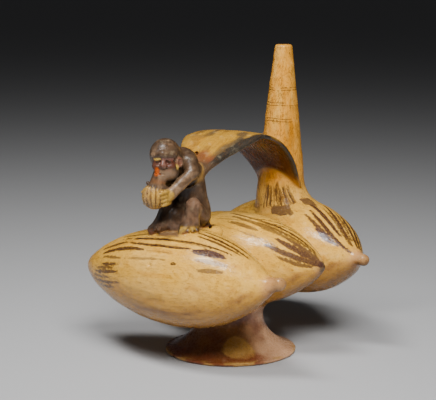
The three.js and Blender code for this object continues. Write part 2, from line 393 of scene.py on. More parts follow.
def spout_bore():
    base = REAR.middle[2]
    outline = [
        [0, 0],
        [SHOULDER_RADIUS - BODY_WALL, 0],
        [SHOULDER_RADIUS - BODY_WALL, SHOULDER_HEIGHT - base],
        [RIM_RADIUS - SPOUT_WALL, OVERALL_HEIGHT - base - 1],
        [RIM_RADIUS - SPOUT_WALL + 0.6, OVERALL_HEIGHT - base + 3],
        [0, OVERALL_HEIGHT - base + 3],
    ]
    return turned_form(Profile(outline), (SPOUT_X, SPOUT_Y, base), spout_axes(), 0.8, cut=True)


# The strap handle, a band bent through stations from the monkey's back to the spout
class Strap:
    """Stations are shares of the way along, drops below the crest, shifts along X, widths and twists"""

    def __init__(self):
        start = SEAT[1] + 15 * HUNDREDTH
        end = SPOUT_Y - SHOULDER_RADIUS * 0.2
        rise = STRAP_CREST - (SEAT[2] + 58 * HUNDREDTH)
        drop = STRAP_CREST - STRAP_JOINT_HEIGHT
        wide = STRAP_WIDTH
        stations = np.array([
            (-0.03, rise * 1.15, 0, STRAP_ROOT_WIDTH * 0.8, 0),
            (0.05, rise * 0.85, 0, STRAP_ROOT_WIDTH, STRAP_TWIST * 0.3),
            (0.15, rise * 0.52, -wide * 0.07, (STRAP_ROOT_WIDTH + wide) * 0.5, STRAP_TWIST * 0.8),
            (0.25, rise * 0.26, -wide * 0.08, wide * 0.93, STRAP_TWIST),
            (0.36, rise * 0.08, -wide * 0.04, wide, STRAP_TWIST * 0.6),
            (0.47, 0, 0, wide, STRAP_TWIST * 0.1),
            (0.58, drop * 0.05, 0, wide, 0),
            (0.69, drop * 0.19, 0, wide * 0.97, -STRAP_TWIST * 0.3),
            (0.8, drop * 0.4, 0, wide * 0.93, -STRAP_TWIST * 0.4),
            (0.9, drop * 0.67, 0, STRAP_SPOUT_WIDTH * 1.06, -STRAP_TWIST * 0.3),
            (1, drop, 0, STRAP_SPOUT_WIDTH * 0.94, 0),
        ])
        stations[:, 0] = start + (end - start) * stations[:, 0]
        stations[:, 1] = STRAP_CREST - stations[:, 1]
        self.path = self.rounded(stations, 12)
        self.table()

    @staticmethod
    def rounded(stations, steps):
        """A smooth curve through the stations"""
        ends = np.vstack([2 * stations[0] - stations[1], stations, 2 * stations[-1] - stations[-2]])
        curve = []
        for a, b, c, d in zip(ends[:-3], ends[1:-2], ends[2:-1], ends[3:]):
            for t in np.arange(steps) / steps:
                curve.append(0.5 * (2 * b + (c - a) * t + (2 * a - 5 * b + 4 * c - d) * t ** 2
                                    + (3 * b - a - 3 * c + d) * t ** 3))
        return np.array(curve + [stations[-1]])

    def table(self):
        """For each place beside the band: how far along it the nearest point is, and how far off"""
        self.low = self.path[:, :2].min(axis=0) - 14
        high = self.path[:, :2].max(axis=0) + 14
        ys = np.arange(self.low[0], high[0], 1.0)
        zs = np.arange(self.low[1], high[1], 1.0)
        y, z = np.meshgrid(ys, zs, indexing="ij")
        best = np.full(y.shape, np.inf)
        self.station = np.zeros(y.shape)
        self.off = np.zeros(y.shape)
        for index, (start, end) in enumerate(zip(self.path[:-1, :2], self.path[1:, :2])):
            dy, dz = end - start
            size = math.hypot(dy, dz)
            share = np.clip(((y - start[0]) * dy + (z - start[1]) * dz) / size ** 2, 0, 1)
            gap = np.hypot(y - start[0] - share * dy, z - start[1] - share * dz)
            side = np.sign((z - start[1]) * dy - (y - start[0]) * dz)
            closer = gap < best
            best = np.where(closer, gap, best)
            self.station = np.where(closer, index + share, self.station)
            self.off = np.where(closer, gap * side, self.off)

    def look_up(self, table, y, z):
        return looked_up(table, y - self.low[0], z - self.low[1])

    def coordinates(self, points):
        """Station, share across from -1 to 1, height off the band's middle, and the band's width there"""
        station = self.look_up(self.station, points[:, 1], points[:, 2])
        index = np.arange(len(self.path))
        width = np.interp(station, index, self.path[:, 3])
        across = (points[:, 0] - np.interp(station, index, self.path[:, 2])) / width
        raised = points[:, 2] + np.clip(across, -0.6, 0.6) * np.interp(station, index, self.path[:, 4])
        station = self.look_up(self.station, points[:, 1], raised)
        return station, across * 2, self.look_up(self.off, points[:, 1], raised), width

    def distance(self, points):
        station, across, off, width = self.coordinates(points)
        waver = 0.4 * np.sin(station * 0.13 + 1) + 0.2 * np.sin(station * 0.31)
        thickness = STRAP_THICKNESS * (1 - 0.35 * np.minimum(np.abs(across), 1) ** 4)
        rounding = 1.3
        side = np.abs(across) * width / 2 - (width / 2 + waver * np.sign(across) - rounding)
        face = np.abs(off) - (thickness / 2 - rounding)
        outside = np.hypot(np.maximum(side, 0), np.maximum(face, 0))
        return outside + np.minimum(np.maximum(side, face), 0) - rounding

    def form(self):
        half = STRAP_WIDTH * 0.62
        low = (-half - 2, self.path[0, 0], self.path[:, 1].min() - 4)
        high = (half, self.path[-1, 0], STRAP_CREST + STRAP_THICKNESS + 4)
        return Form(self.distance, low, high, 3.0)


# The monkey, in hundredths of its height: x to its left hand, y backwards, z up from its seat
def figure_place(point):
    return SEAT + np.array(point, float) * HUNDREDTH


def limb(start, end, start_radius, end_radius, blend=3.0, cut=False):
    return bone(figure_place(start), figure_place(end), start_radius * HUNDREDTH, end_radius * HUNDREDTH,
                blend * HUNDREDTH, cut)


def lump(centre, radii, blend=3.0, cut=False, **turn):
    return ball(figure_place(centre), np.array(radii, float) * HUNDREDTH, blend * HUNDREDTH, cut, **turn)


HEAD_MIDDLE = (1.0, -26.5)
HEAD_TURN = math.radians(30)
MUZZLE = (7, -31, 66)


def torso_forms():
    return [
        lump((0, 20, 12), (20, 17, 22), 3),
        lump((-1, 6, 14), (13, 13, 18), 4),
        limb((0, 19, 18), (0, 13, 56), 17.5, 16, 6),
        lump((0, 0, 71), (20, 16, 17), 8),
        limb((0, -2, 72), (0, -16, 78), 13, 12, 6),
    ]


def on_face(side, forward, up):
    """A place given from the middle of the head: towards its left hand, out of the face, and a height"""
    return (
        HEAD_MIDDLE[0] + side * math.cos(HEAD_TURN) + forward * math.sin(HEAD_TURN),
        HEAD_MIDDLE[1] + side * math.sin(HEAD_TURN) - forward * math.cos(HEAD_TURN),
        up,
    )


def head_forms():
    forms = [
        lump((0, -26.5, 82.5), (16.5, 17, 17.3), 5),
        lump(MUZZLE, (12.3, 12.3, 10.5), 4),
        lump((1, -21, 58), (10, 10, 11), 3),
        limb(on_face(-11, 12, 83), on_face(0, 15.6, 84.5), 2.6, 3.0, 4),
        limb(on_face(0, 15.6, 84.5), on_face(11, 12, 83), 3.0, 2.6, 4),
        limb(on_face(0, 15.2, 79.5), on_face(0, 18.2, 73.5), 1.9, 2.8, 2.5),
        lump(on_face(0, 18.6, 72), (4.2, 2.6, 2.2), 1.5, yaw=30),
        lump((5.2, -42.0, 66.2), (4.4, 3.4, 5.0), 2.5),
    ]
    for side in (-1, 1):
        forms += [
            lump(on_face(side * 7, 16.4, 77), (4.6, 2.8, 3.2), 1.5, cut=True, yaw=30 + 22 * side),
            lump(on_face(side * 7, 12.9, 76.8), (3.6, 3.0, 2.5), 0.8, yaw=30 + 22 * side),
            limb(on_face(side * 3.4, 15.6, 79.3), on_face(side * 10.2, 12.4, 79), 1.1, 1.0, 1),
            limb(on_face(side * 3.6, 15.5, 74.5), on_face(side * 10, 12.6, 74.6), 0.9, 0.9, 1),
            lump(on_face(side * 8, 12.5, 71.5), (5, 4.5, 4), 3),
            lump(on_face(side * 1.9, 20.8, 71.6), (1.0, 1.2, 0.9), 0.5, cut=True),
            lump((side * 17.3, -24, 75.5), (3.3, 4.8, 6.2), 2, yaw=-15 * side),
            lump((side * 20.0, -25.6, 75.5), (2.1, 2.9, 3.8), 1, cut=True, yaw=-15 * side),
        ]
    mouth = [(2.5, -45.6, 64.2), (9.5, -44.6, 64), (15.5, -41, 63.6), (19, -36, 64.2)]
    forms += [limb(start, end, 0.8, 0.7, 0.8, cut=True) for start, end in zip(mouth[:-1], mouth[1:])]
    return forms


def arm_forms(side):
    return [
        limb((side * 14.5, -4, 73), (side * 21.5, -8.5, 62.5), 9.5, 7.2, 4),
        limb((side * 21.5, -8.5, 62.5), (side * 14, -34, 42.5), 7.2, 5.7, 3),
        limb((side * 14, -33, 42.5), (side * 12, -38, 38.5), 5.7, 6.0, 3),
    ]


def finger_forms(side):
    forms = []
    for finger in range(4):
        height = 45.5 - finger * 4.1
        knuckle = (side * 13.5, -36, height)
        middle = (side * 14.8, -43, height - 0.6)
        tip = (side * 12.6, -49 + finger, height - 2)
        forms += [limb(knuckle, middle, 2.2, 2.1, 0.6), limb(middle, tip, 2.1, 1.7, 0.8)]
    forms.append(limb((side * 12, -35, 46), (side * 9.5, -44, 53), 2.6, 2.1, 1))
    return forms


def leg_forms(hip, knee, ankle, toes, toe_turns):
    forms = [
        limb(hip, knee, 9.5, 7.8, 1.5),
        limb(knee, ankle, 7.8, 9.4, 1.5),
        limb(ankle, toes, 8.2, 5.6, 4),
    ]
    heel = np.array([ankle[0], ankle[1], 0.0])
    for turn in np.radians(toe_turns):
        outward = np.array([math.cos(turn), math.sin(turn), 0.0])
        root, tip = heel + outward * 6.5 + (0, 0, 3.4), heel + outward * 12 + (0, 0, 0.2)
        forms.append(limb(root, tip, 2.1, 1.7, 1.0))
    return forms


GOURD_RIBS = 16
RIB_TURN = 360 / GOURD_RIBS


def gourd_forms():
    forms = [
        lump((0, -44, 39.5), (13.8, 13.8, 13.4), 1.5),
        limb((1, -44, 45), (4.5, -41, 60), 9.5, 7.2, 5),
        lump((-7.5, -9.5, 15), (3.4, 2.4, 8), 1.5, roll=15),
    ]
    for rib in range(GOURD_RIBS):
        angle = math.radians(RIB_TURN * rib)
        side = np.array([math.cos(angle), math.sin(angle), 0.0])
        low = np.array([0, -44, 30]) + side * 9.5
        waist = np.array([0, -44, 39.5]) + side * 14.2
        high = np.array([2.2, -43.2, 52]) + side * 8.6
        forms += [limb(low, waist, 0.5, 0.6, 0.8, cut=True), limb(waist, high, 0.6, 0.4, 0.8, cut=True)]
    return forms


# A dab of clay fills the furrow behind the monkey
PATCH_OF_CLAY = np.array([13.0, -34.0, 86.3])

# Hip, knee, ankle and toes of the left and right leg, and which way each toe points in degrees
LEG_NEAR = ((14, 17, 11), (16.5, -0.5, 26.5), (16, -4, 5), (15, -15, 0))
LEG_FAR = ((-14, 14, 11), (-12, -7, 27), (-14, -14, 6), (-23, -22, -2))
TOES_NEAR = (-112, -88, -64, -40, -14)
TOES_FAR = (-150, -125, -100, -75)


def monkey_forms():
    return [
        *torso_forms(),
        *leg_forms(*LEG_NEAR, TOES_NEAR),
        *leg_forms(*LEG_FAR, TOES_FAR),
        lump((-1, -5, 7), (14, 13, 17), 2),
        limb((24.5, 7.5, 22), (25, 6, 0), 1.2, 1.2, 1.2, cut=True),
        *gourd_forms(),
        *arm_forms(1),
        *arm_forms(-1),
        *finger_forms(1),
        *finger_forms(-1),
        *head_forms(),
    ]


def small_wounds():
    """Vent holes beside the monkey, the chipped tip of the middle fruit and a pit on the front fruit"""
    return [
        bone((14.0, -38.6, 90.0), (10.5, -34.6, 88.4), 1.2, 1.0, 0.4, cut=True),
        bone((-3.6, -30.8, 134.7), (-6.6, -27.0, 133.6), 1.3, 1.1, 0.4, cut=True),
        ball(MIDDLE.place((MIDDLE.reach + 1.5, -3.5, -3)), (2.6, 7, 5), 1.0, cut=True),
        ball(FRONT.place((-3, -29.2, 12.4)), (1.6, 1.2, 1.4), 0.5, cut=True),
    ]


# From the field to a mesh
def grid_lines(low, high, fine_low, fine_high):
    """Grid lines from low to high, close together in the fine stretch round the monkey"""
    parts = []
    stretches = ((low, fine_low, COARSE), (fine_low, fine_high, FINE), (fine_high, high, COARSE))
    for start, end, pitch in stretches:
        count = max(1, round((end - start) / pitch))
        parts.append(np.linspace(start, end, count, endpoint=False))
    lines = np.concatenate(parts + [[high]])
    short = -(len(lines) - 1) % BLOCK
    return np.concatenate([lines, high + COARSE * np.arange(1, short + 1)])


def node_points(lines, index):
    return np.column_stack([line[column] for line, column in zip(lines, index)])


def busy_blocks(lines, forms):
    """Blocks of the grid that the surface may pass through"""
    coarse = [line[::BLOCK] for line in lines]
    shape = tuple(len(line) for line in coarse)
    points = np.stack(np.meshgrid(*coarse, indexing="ij"), axis=-1).reshape(-1, 3)
    nearest = np.abs(field(points, forms)).reshape(shape)
    for axis in range(3):
        size = nearest.shape[axis]
        nearest = np.minimum(nearest.take(range(size - 1), axis), nearest.take(range(1, size), axis))
    steps = np.meshgrid(*[np.diff(line) for line in coarse], indexing="ij")
    diagonal = np.sqrt(sum(step ** 2 for step in steps))
    return nearest < diagonal * 0.62 + 0.4


def spread_blocks(busy, size, nodes):
    """Marks the grid cells, or the grid nodes, that belong to busy blocks"""
    marked = np.zeros(size, bool)
    reach = BLOCK + (1 if nodes else 0)
    for i, j, k in np.argwhere(busy) * BLOCK:
        marked[i:i + reach, j:j + reach, k:k + reach] = True
    return marked


CORNERS = [(i, j, k) for i in (0, 1) for j in (0, 1) for k in (0, 1)]


def surface_of(forms, lines):
    """Vertices and quads of the surface, one vertex in each grid cell that it passes through"""
    size = tuple(len(line) for line in lines)
    busy = busy_blocks(lines, forms)
    nodes = np.nonzero(spread_blocks(busy, size, nodes=True))
    value = np.full(size, FAR, np.float32)
    value[nodes] = field(node_points(lines, nodes), forms)
    inside = value < 0
    full = [slice(0, -1), slice(1, None)]
    count = sum(inside[full[i], full[j], full[k]].astype(np.uint8) for i, j, k in CORNERS)
    cell_size = tuple(side - 1 for side in size)
    mixed = (count > 0) & (count < 8) & spread_blocks(busy, cell_size, nodes=False)
    cells = np.nonzero(mixed)
    number = np.full(cell_size, -1, np.int32)
    number[cells] = np.arange(len(cells[0]), dtype=np.int32)
    at = {c: value[cells[0] + c[0], cells[1] + c[1], cells[2] + c[2]] for c in CORNERS}
    total = np.zeros((len(cells[0]), 3))
    crossings = np.zeros(len(cells[0]))
    for start in CORNERS:
        for axis in range(3):
            if start[axis]:
                continue
            end = tuple(1 if axis == a else start[a] for a in range(3))
            crossed = (at[start] < 0) != (at[end] < 0)
            share = np.where(crossed, at[start] / np.where(crossed, at[start] - at[end], 1), 0)
            for a in range(3):
                low = lines[a][cells[a] + start[a]]
                high = lines[a][cells[a] + end[a]]
                total[:, a] += np.where(crossed, low + (high - low) * share, 0)
            crossings += crossed
    vertices = total / crossings[:, None]
    quads = []
    for axis in range(3):
        others = [a for a in range(3) if a != axis]
        here = [slice(1, -1)] * 3
        there = [slice(1, -1)] * 3
        here[axis], there[axis] = slice(0, -1), slice(1, None)
        change = inside[tuple(here)] != inside[tuple(there)]
        found = np.array(np.nonzero(change))
        outward = inside[tuple(here)][tuple(found)]
        base = found + 1
        base[axis] -= 1
        around = []
        for first, second in ((-1, -1), (0, -1), (0, 0), (-1, 0)):
            cell = base.copy()
            cell[others[0]] += first
            cell[others[1]] += second
            around.append(number[tuple(cell)])
        quad = np.column_stack(around)
        flip = outward if axis == 1 else ~outward
        quad[flip] = quad[flip][:, ::-1]
        quads.append(quad[(quad >= 0).all(axis=1)])
    return vertices, np.concatenate(quads)


def slope_of(points, forms, step=0.08):
    """The field's value and its unit slope at each point"""
    value = field(points, forms)
    slope = np.column_stack([field(points + offset, forms) - value for offset in np.eye(3) * step]) / step
    return value, slope / np.maximum(length_of(slope), 1e-6)[:, None], length_of(slope)


SETTLE_SHARE = 0.6


def settle(vertices, quads, forms, rounds):
    """Spreads the vertices evenly and lays them on the surface again"""
    pairs = np.concatenate([quads[:, [0, 1]], quads[:, [1, 2]], quads[:, [2, 3]], quads[:, [3, 0]]])
    pairs = np.concatenate([pairs, pairs[:, ::-1]])
    share = np.bincount(pairs[:, 0], minlength=len(vertices))
    for _ in range(rounds):
        mean = np.column_stack([
            np.bincount(pairs[:, 0], vertices[pairs[:, 1], axis], len(vertices)) for axis in range(3)
        ]) / np.maximum(share, 1)[:, None]
        vertices = vertices * (1 - SETTLE_SHARE) + mean * SETTLE_SHARE
        value, slope, steep = slope_of(vertices, forms)
        move = np.clip(value / np.maximum(steep, 0.5), -1, 1)
        vertices = vertices - slope * move[:, None]
    return vertices


def lattice_noise(points, pitch, seed):
    """Smooth noise between -1 and 1, from a lattice of seeded random values"""
    size = 64
    table = np.random.default_rng(seed).uniform(-1, 1, (size, size, size))
    place = points / pitch
    cell = np.floor(place).astype(int)
    share = place - cell
    share = share * share * (3 - 2 * share)
    total = np.zeros(len(points))
    for corner in CORNERS:
        near = np.abs(1 - np.array(corner) - share)
        i, j, k = ((cell + corner) % size).T
        total += near[:, 0] * near[:, 1] * near[:, 2] * table[i, j, k]
    return total


STRAP = Strap()


def outside_forms():
    return [
        fruit_form(FRONT, 0),
        fruit_form(MIDDLE, 1.6),
        fruit_form(REAR, 1.6),
        nipple_form(FRONT),
        nipple_form(REAR),
        foot_form(),
        spout_form(),
        spout_skirt(),
        STRAP.form(),
        *monkey_forms(),
        ball(PATCH_OF_CLAY, (6.5, 5.5, 4.2), 3.0),
    ]


def hollow_forms():
    return [
        *[fruit_hollow(fruit) for fruit in FRUITS],
        passage(FRONT, MIDDLE),
        passage(MIDDLE, REAR),
        spout_bore(),
        foot_hollow(),
    ]


def vessel_mesh():
    outside = outside_forms()
    hollows = hollow_forms()
    forms = outside + hollows + small_wounds()
    lines = [grid_lines(*stretch) for stretch in GRID]
    vertices, quads = surface_of(forms, lines)
    vertices = settle(vertices, quads, forms, rounds=2)
    _, slope, _ = slope_of(vertices, forms)
    uneven = sum(depth * lattice_noise(vertices, pitch, seed) for depth, pitch, seed in UNEVENNESS)
    # The foot's rim and the spout's mouth stay even
    calm = np.clip((vertices[:, 2] - 2) / 4, 0, 1) * np.clip((OVERALL_HEIGHT - 1 - vertices[:, 2]) / 3, 0, 1)
    vertices = vertices + slope * (uneven * calm)[:, None]
    inner = field(vertices, outside) < -BODY_WALL * 0.45
    return vertices, quads, inner


def new_mesh_object(name, vertices, quads):
    mesh = bpy.data.meshes.new(name)
    mesh.vertices.add(len(vertices))
    mesh.vertices.foreach_set("co", ((vertices + FOOT_AXIS) * MM).ravel())
    mesh.loops.add(quads.size)
    mesh.loops.foreach_set("vertex_index", quads.ravel())
    mesh.polygons.add(len(quads))
    mesh.polygons.foreach_set("loop_start", np.arange(0, quads.size, 4))
    mesh.update(calc_edges=True)
    mesh.validate()
    thing = bpy.data.objects.new(name, mesh)
    bpy.context.scene.collection.objects.link(thing)
    return thing


def without_crumbs(mesh):
    """Deletes stray faces and closed specks, which share no edge with the vessel's one large shell"""
    ends = np.empty(2 * len(mesh.edges), np.int32)
    mesh.edges.foreach_get("vertices", ends)
    first, second = ends.reshape(-1, 2).T
    shell = np.arange(len(mesh.vertices))
    settled = False
    while not settled:
        lowest = np.minimum(shell[first], shell[second])
        joined = shell.copy()
        np.minimum.at(joined, first, lowest)
        np.minimum.at(joined, second, lowest)
        joined = joined[joined]
        settled = (joined == shell).all()
        shell = joined
    crumbs = np.flatnonzero(shell != np.bincount(shell).argmax())
    work = bmesh.new()
    work.from_mesh(mesh)
    work.verts.ensure_lookup_table()
    bmesh.ops.delete(work, geom=[work.verts[int(number)] for number in crumbs], context="VERTS")
    work.to_mesh(mesh)
    work.free()


def thinned(thing, quads, inner):
    """Keeps the outside fine and the hollow inside plainer, under the limit of triangles"""
    group = thing.vertex_groups.new(name="inside")
    group.add(np.flatnonzero(inner).tolist(), 1.0, "REPLACE")
    triangles = 2 * len(thing.data.polygons)
    first = triangles - 2 * int(inner[quads].all(axis=1).sum()) + INSIDE_TRIANGLES
    if first > MOST_TRIANGLES:
        thin_inside = thing.modifiers.new("thin_inside", "DECIMATE")
        thin_inside.ratio = first / triangles
        thin_inside.vertex_group = "inside"
        thin = thing.modifiers.new("thin", "DECIMATE")
        thin.ratio = MOST_TRIANGLES / first
    view = bpy.context.evaluated_depsgraph_get()
    mesh = bpy.data.meshes.new_from_object(thing.evaluated_get(view))
    thing.modifiers.clear()
    old = thing.data
    thing.data = mesh
    thing.vertex_groups.clear()
    bpy.data.meshes.remove(old)
    without_crumbs(mesh)
    mesh.polygons.foreach_set("use_smooth", np.ones(len(mesh.polygons), bool))
    return thing


# Slip colours, some of them laid on as painted shade and painted highlight, linear: places and amounts of
# paint below are in mm, degrees and shares
BUFF = (0.62, 0.36, 0.105)
PALE_BUFF = (0.66, 0.41, 0.14)
ORANGE_BUFF = (0.47, 0.225, 0.06)
SHADE_AND_MOTTLE_BROWN = (0.25, 0.125, 0.048)
PINK_TAN = (0.43, 0.23, 0.125)
TIP_GREY = (0.06, 0.048, 0.03)
SPOUT_BUFF = (0.57, 0.285, 0.085)
SPOUT_ORANGE = (0.40, 0.165, 0.04)
FOOT_RED = (0.13, 0.056, 0.036)
FOOT_LIT_TAN = (0.52, 0.32, 0.20)
FOOT_BUFF = (0.42, 0.25, 0.10)
STRAP_YELLOW = (0.36, 0.205, 0.058)
STRAP_UNDER_SHADE = (0.08, 0.027, 0.012)
STRAP_EDGE = (0.026, 0.022, 0.017)
SMUDGE_RED = (0.17, 0.055, 0.03)
MONKEY_BROWN = (0.065, 0.041, 0.026)
MONKEY_WEAR_AND_HIGHLIGHT = (0.25, 0.165, 0.105)
MONKEY_LEG = (0.17, 0.105, 0.07)
FACE_RED = (0.07, 0.024, 0.017)
LIP_ORANGE = (0.33, 0.07, 0.022)
LID_YELLOW = (0.62, 0.42, 0.12)
EAR_PINK = (0.17, 0.075, 0.05)
HAND_YELLOW = (0.33, 0.205, 0.062)
GOURD_BUFF = (0.37, 0.225, 0.078)
GROOVE_BROWN = (0.10, 0.05, 0.022)
INSIDE_BROWN = (0.16, 0.08, 0.04)
LAP_BLACK = (0.02, 0.012, 0.008)
NOSE_PINK = (0.16, 0.085, 0.068)


def soft(value, low, high):
    """Nought below low, one above high, smooth between; the other way round when high is the lower"""
    share = np.clip((value - low) / (high - low), 0, 1)
    return share * share * (3 - 2 * share)


def coated(colours, *coats):
    """Colours with coats laid over them in turn, each a colour and its share at every point"""
    for colour, share in coats:
        colours = colours + (np.array(colour) - colours) * np.clip(share, 0, 1)[:, None]
    return colours


def laid_over(under, over, share):
    return under + (over - under) * share[:, None]


# Painted strokes on a fruit: along from and to, degrees from the top towards the front from and to,
# bow in degrees, width, strength and how purple the paint is
FRONT_STROKES = [
    (-39, 45, 29.5, 22, 7, 1.7, 1.0, 0.1),
    (-56, -32, 42, 38, -1, 1.8, 0.9, 0.2),
    (-28, 22, 39, 39.5, 3.5, 1.8, 1.0, 0.1),
    (-53, -13, 52, 50, -3, 2.3, 1.0, 0.1),
    (-10, 12, 50.5, 50.5, 0, 0.9, 0.4, 0.1),
    (-52, -31, 59, 62, 0, 1.5, 0.8, 0.3),
    (-27, 8, 62, 59.5, 0, 1.3, 0.6, 0.1),
    (-51, -33, 72, 70, 0, 1.7, 0.95, 0.4),
    (-57, -38, 79, 76, 0, 1.4, 0.85, 0.3),
    (-61, -32, 88, 80, 0, 1.7, 0.95, 0.3),
    (-63, -39, 97, 90, 0, 1.4, 0.85, 0.3),
    (-63, -30, 107, 94, 0, 1.7, 0.9, 0.4),
    (-56, -37, 113, 103, 0, 1.5, 0.8, 0.3),
    (-42, -10, 22, 22, 2, 1.3, 0.8, 0.2),
    (14.0, 15.2, 62.4, 62.4, 0, 2.4, 1.0, 0.1),
    (43.7, 44.1, 75.5, 75.5, 0, 1.1, 1.0, 0.0),
    (28.8, 29.2, 111.5, 111.5, 0, 1.1, 1.0, 0.0),
    (-24, 7, 97, 105, 0, 5, 0.2, 0.1),
    (-26, 14, 116, 132, 0, 9, 0.25, 0.1),
    (-20, 30, 8, 6, 2, 1.2, 0.7, 0.1),
    (-8, 30, 32, 30, 2, 1.1, 0.6, 0.1),
    (26, 41, 41, 34, 0, 5.0, 1.0, 1.0),
    (29, 46, 52, 47, 0, 2.6, 0.55, 1.0),
    (32, 45, 65, 60, 0, 2.6, 0.75, 0.8),
    (14, 48, -7, -38, 0, 1.6, 0.9, 0.0),
    (17, 52, 0, -14, 3, 1.8, 0.95, 0.0),
    (18, 52, 9, 2, 1.5, 1.9, 1.0, 0.0),
    (20, 48, 16, 11, 1.5, 1.7, 0.95, 0.1),
]
MIDDLE_STROKES = [
    (19, 61, 13, -43, 0, 1.7, 1.0, 0.0),
    (19, 60, 14, -3, 3, 1.8, 1.0, 0.0),
    (31, 62, 8, -30, 0, 1.6, 0.95, 0.0),
    (24, 62, 19, 8, 3, 1.8, 0.9, 0.1),
    (4, 45, 17, 24, 2.5, 2.5, 0.8, 0.2),
    (4, 25, 29, 33, 0, 2.8, 0.75, 0.3),
    (14, 41, 41, 49, 0, 1.2, 0.55, 0.1),
    (-6, 12, 24, 24, 0, 1.2, 0.4, 0.1),
    (-2, 34, 8, 14, 2, 1.7, 0.8, 0.1),
    (28, 50, 27, 20, 2, 1.5, 0.75, 0.1),
    (66.4, 67.6, -60, 60, 0, 1.6, 0.9, 0.0),
    (43, 65, 25, 24, 2, 2.8, 0.9, 0.9),
    (40, 65, 37, 41, 2, 3.4, 0.95, 0.9),
    (36, 65, 53, 63, 1, 3.2, 0.95, 0.8),
    (44, 61, 68, 82, 0, 2.2, 0.85, 0.7),
]
REAR_STROKES = [
    (20, 57, 3, 19, -3, 2.6, 1.0, 0.5),
    (30, 67, 15, 46, -3, 2.4, 1.0, 0.4),
    (31, 60, 26, 48, -2, 2.4, 0.95, 0.6),
    (26, 65, -15, 8, -3, 2.2, 1.0, 0.3),
    (30, 64, -6, 14, -3, 1.5, 0.9, 0.2),
    (34, 62, -20, -5, -2, 1.5, 0.9, 0.2),
    (38, 67, -27, -17, 0, 2.2, 1.0, 0.2),
    (40, 67, -38, -34, 0, 2.4, 1.0, 0.2),
    (44, 67, -50, -52, 0, 2.0, 0.9, 0.2),
    (46, 56, 38, 47, 0, 4.4, 1.0, 1.0),
]


def far_side_strokes(seed, first_angle):
    """Plainer strokes for the side that is not seen: even rows that start and end unevenly"""
    draw = np.random.default_rng(seed)
    strokes = []
    for angle in np.arange(first_angle, -112, -12.5):
        begin, end = draw.uniform(-60, -42), draw.uniform(30, 52)
        gap = draw.uniform(-15, 15)
        strokes.append((begin, gap - 3, angle, angle + draw.uniform(-3, 3), 2, 1.7, 0.8, 0.2))
        strokes.append((gap + 3, end, angle + draw.uniform(-3, 3), angle, 2, 1.7, 0.8, 0.2))
    return strokes


def stroke_distance(along, angle, radius, stroke):
    """Signed distance in mm from the edge of one stroke"""
    begin, end, first, last, bow, width = stroke[:6]
    share = np.clip((along - begin) / (end - begin), 0, 1)
    centre = first + (last - first) * share + bow * 4 * share * (1 - share)
    aside = np.radians(angle - centre) * radius
    beyond = along - (begin + (end - begin) * share)
    half = width / 2 * (0.45 + 0.65 * np.sin(np.pi * np.clip(share, 0.04, 0.96)) ** 0.6)
    return np.hypot(aside, beyond * 0.6) - half


class Brush:
    """The nearest stroke's edge, its strength and how purple it is, at every vertex"""

    def __init__(self, count):
        self.edge = np.full(count, 4.0)
        self.strength = np.zeros(count)
        self.purple = np.zeros(count)

    def lay(self, where, distance, strength, purple):
        closer = np.flatnonzero(where)[distance[where] < self.edge[where]]
        self.edge[closer] = distance[closer]
        self.strength[closer] = strength
        self.purple[closer] = purple


def paint_fruits(points, colours, shares, brush):
    stroke_sets = (
        FRONT_STROKES + far_side_strokes(11, -48),
        MIDDLE_STROKES + far_side_strokes(12, -58),
        REAR_STROKES + far_side_strokes(13, -62),
    )
    for fruit, share, strokes in zip(FRUITS, shares, stroke_sets):
        local = fruit.local(points)
        along, radius = local[:, 0], np.hypot(local[:, 1], local[:, 2])
        angle = np.degrees(np.arctan2(-local[:, 1], local[:, 2]))
        steep = np.abs(angle)
        length = np.where(along < 0, along / fruit.back, along / fruit.reach)
        streak = lattice_noise(local * (0.12, 1, 1), 3.4, 21)
        broad = lattice_noise(points, 16, 22)
        # low: how far each fruit's surface turns under; its underside is painted more orange and brown as
        # painted shade
        low = soft(steep + 9 * streak + 8 * broad, 88, 128)
        skin = coated(
            np.array(BUFF),
            (PALE_BUFF, soft(broad, 0.0, 0.7) * 0.7),
            (ORANGE_BUFF, soft(streak + 0.4 * broad, 0.25, 0.9) * 0.45),
            # Painted shade: the fruits' undersides are coated orange and then streaky brown
            (ORANGE_BUFF, low * 0.55),
            (SHADE_AND_MOTTLE_BROWN, soft(steep + 16 * streak + 10 * broad, 112, 160) * 0.8),
            (SHADE_AND_MOTTLE_BROWN, low * soft(streak, 0.3, 0.8) * 0.6),
            (ORANGE_BUFF, soft(length, -0.72, -0.98) * 0.6),
            (PINK_TAN, soft(length, 0.9, 1.0) * 0.8),
            # Painted shade: a dark brown line under each nipple
            (SHADE_AND_MOTTLE_BROWN, soft(length, 0.96, 1.02) * soft(steep, 85, 120) * 0.8),
            (TIP_GREY, soft(length + 0.05 * broad, 1.0, 1.08) * 0.35),
        )
        if fruit is MIDDLE:
            skin = coated(skin, (TIP_GREY, soft(length + 0.02 * broad, 0.955, 0.985) * 0.85))
        colours = laid_over(colours, skin, share)
        own = share > 0.5
        for stroke in strokes:
            brush.lay(own, stroke_distance(along, angle, radius, stroke), *stroke[6:])
    return colours


# Directions across the ground for a viewer before the monkey's left side: towards them, and to their right
TOWARDS = np.array([0.6244142, -0.7810934])
RIGHTWARDS = np.array([0.7810934, 0.6244142])


